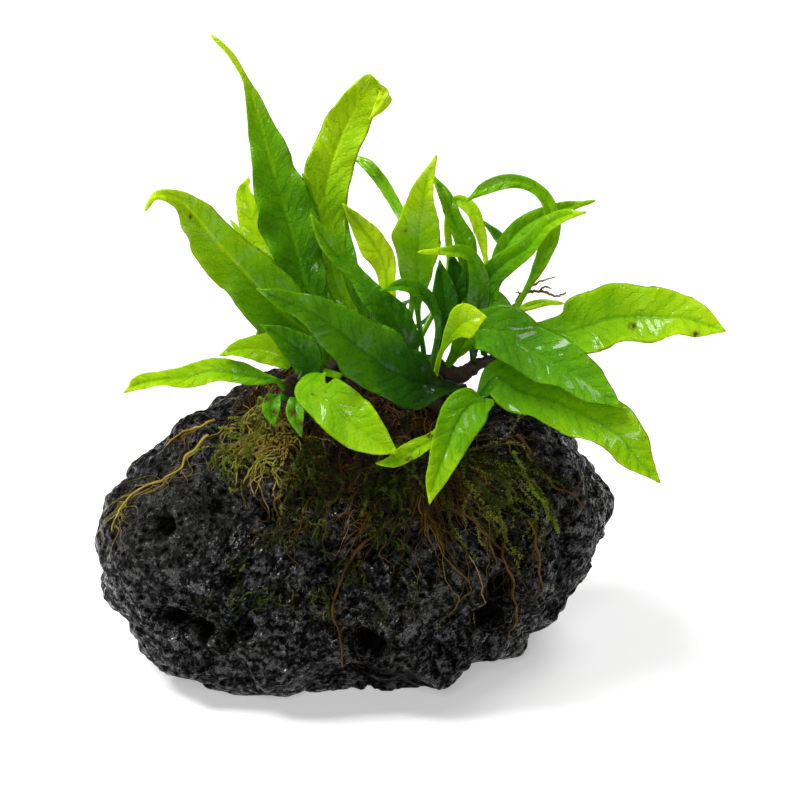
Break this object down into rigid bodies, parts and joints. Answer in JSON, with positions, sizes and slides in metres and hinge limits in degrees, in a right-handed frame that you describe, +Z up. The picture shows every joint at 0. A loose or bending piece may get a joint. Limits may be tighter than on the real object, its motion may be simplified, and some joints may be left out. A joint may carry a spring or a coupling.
{
  "type": "java fern on stone",
  "caption": "Clump of strap-shaped fern leaves on creeping stems, rooted over the top of a rounded lava stone with a flat base; sits free as planting for a tank or shelf",
  "frame": {"origin": "the middle of the flat patch under the stone that it rests on", "axes": "+Z up, +X to the right of the side the picture shows, +Y to its back; -Z is the way the rest face looks"},
  "size_m": [0.1681, 0.12, 0.17],
  "materials": {
    "stone": "wet charcoal-black vesicular lava, rough with small glints",
    "mat": "matted brown and olive roots with moss, damp",
    "rhizome": "dark brown scaly stem, slightly glossy",
    "root": "thin brown to yellow-green roots, damp",
    "moss": "short green moss on trailing strands",
    "leaf_dark": "deep green wet leathery leaf",
    "leaf_green": "mid green wet leathery leaf, lets some light through",
    "leaf_bright": "yellow-green young leaf, lets light through",
    "leaf_old": "yellowing old leaf with a brown edge"
  },
  "bodies": {
    "root": {"leaf_arch_right": "leaf_green", "leaf_arching_left": "leaf_green", "leaf_back_leaning": "leaf_dark", "leaf_back_low_left": "leaf_green", "leaf_back_low_middle": "leaf_dark", "leaf_back_low_right": "leaf_green", "leaf_back_pale": "leaf_bright", "leaf_back_pale_small": "leaf_green", "leaf_dark_one": "leaf_dark", "leaf_dark_two": "leaf_dark", "leaf_drooping": "leaf_green", "leaf_front_big": "leaf_dark", "leaf_front_centre": "leaf_bright", "leaf_front_left": "leaf_bright", "leaf_long_left": "leaf_bright", "leaf_low_yellow": "leaf_bright", "leaf_narrow_back": "leaf_dark", "leaf_narrow_mid": "leaf_green", "leaf_narrow_right": "leaf_dark", "leaf_over_centre": "leaf_dark", "leaf_pale_right": "leaf_bright", "leaf_reaching_back": "leaf_green", "leaf_reaching_front": "leaf_dark", "leaf_right_far": "leaf_bright", "leaf_right_lower": "leaf_bright", "leaf_right_upper": "leaf_green", "leaf_small_centre": "leaf_dark", "leaf_small_one": "leaf_dark", "leaf_small_two": "leaf_dark", "leaf_tall_curled": "leaf_green", "leaf_tall_hidden": "leaf_bright", "leaf_tall_left": "leaf_green", "leaf_twisted_mid": "leaf_dark", "leaf_under_big": "leaf_dark", "leaf_upright": "leaf_green", "leaf_yellow_back": "leaf_bright", "leaf_yellowing": "leaf_old", "leaf_young_bright": "leaf_bright", "moss_bright": "moss", "moss_middle": "moss", "moss_upper": "moss", "rhizome_back": "rhizome", "rhizome_front": "rhizome", "rhizome_left": "rhizome", "rhizome_main": "rhizome", "rhizome_sprig": "rhizome", "root_back": "root", "root_back_left": "root", "root_centre": "root", "root_centre_fork": "root", "root_far_left": "root", "root_front_left": "root", "root_front_left_short": "root", "root_front_right": "root", "root_left": "root", "root_mat": "mat", "root_right": "root", "root_right_low": "root", "stone": "stone"}
  },
  "joints": []
}
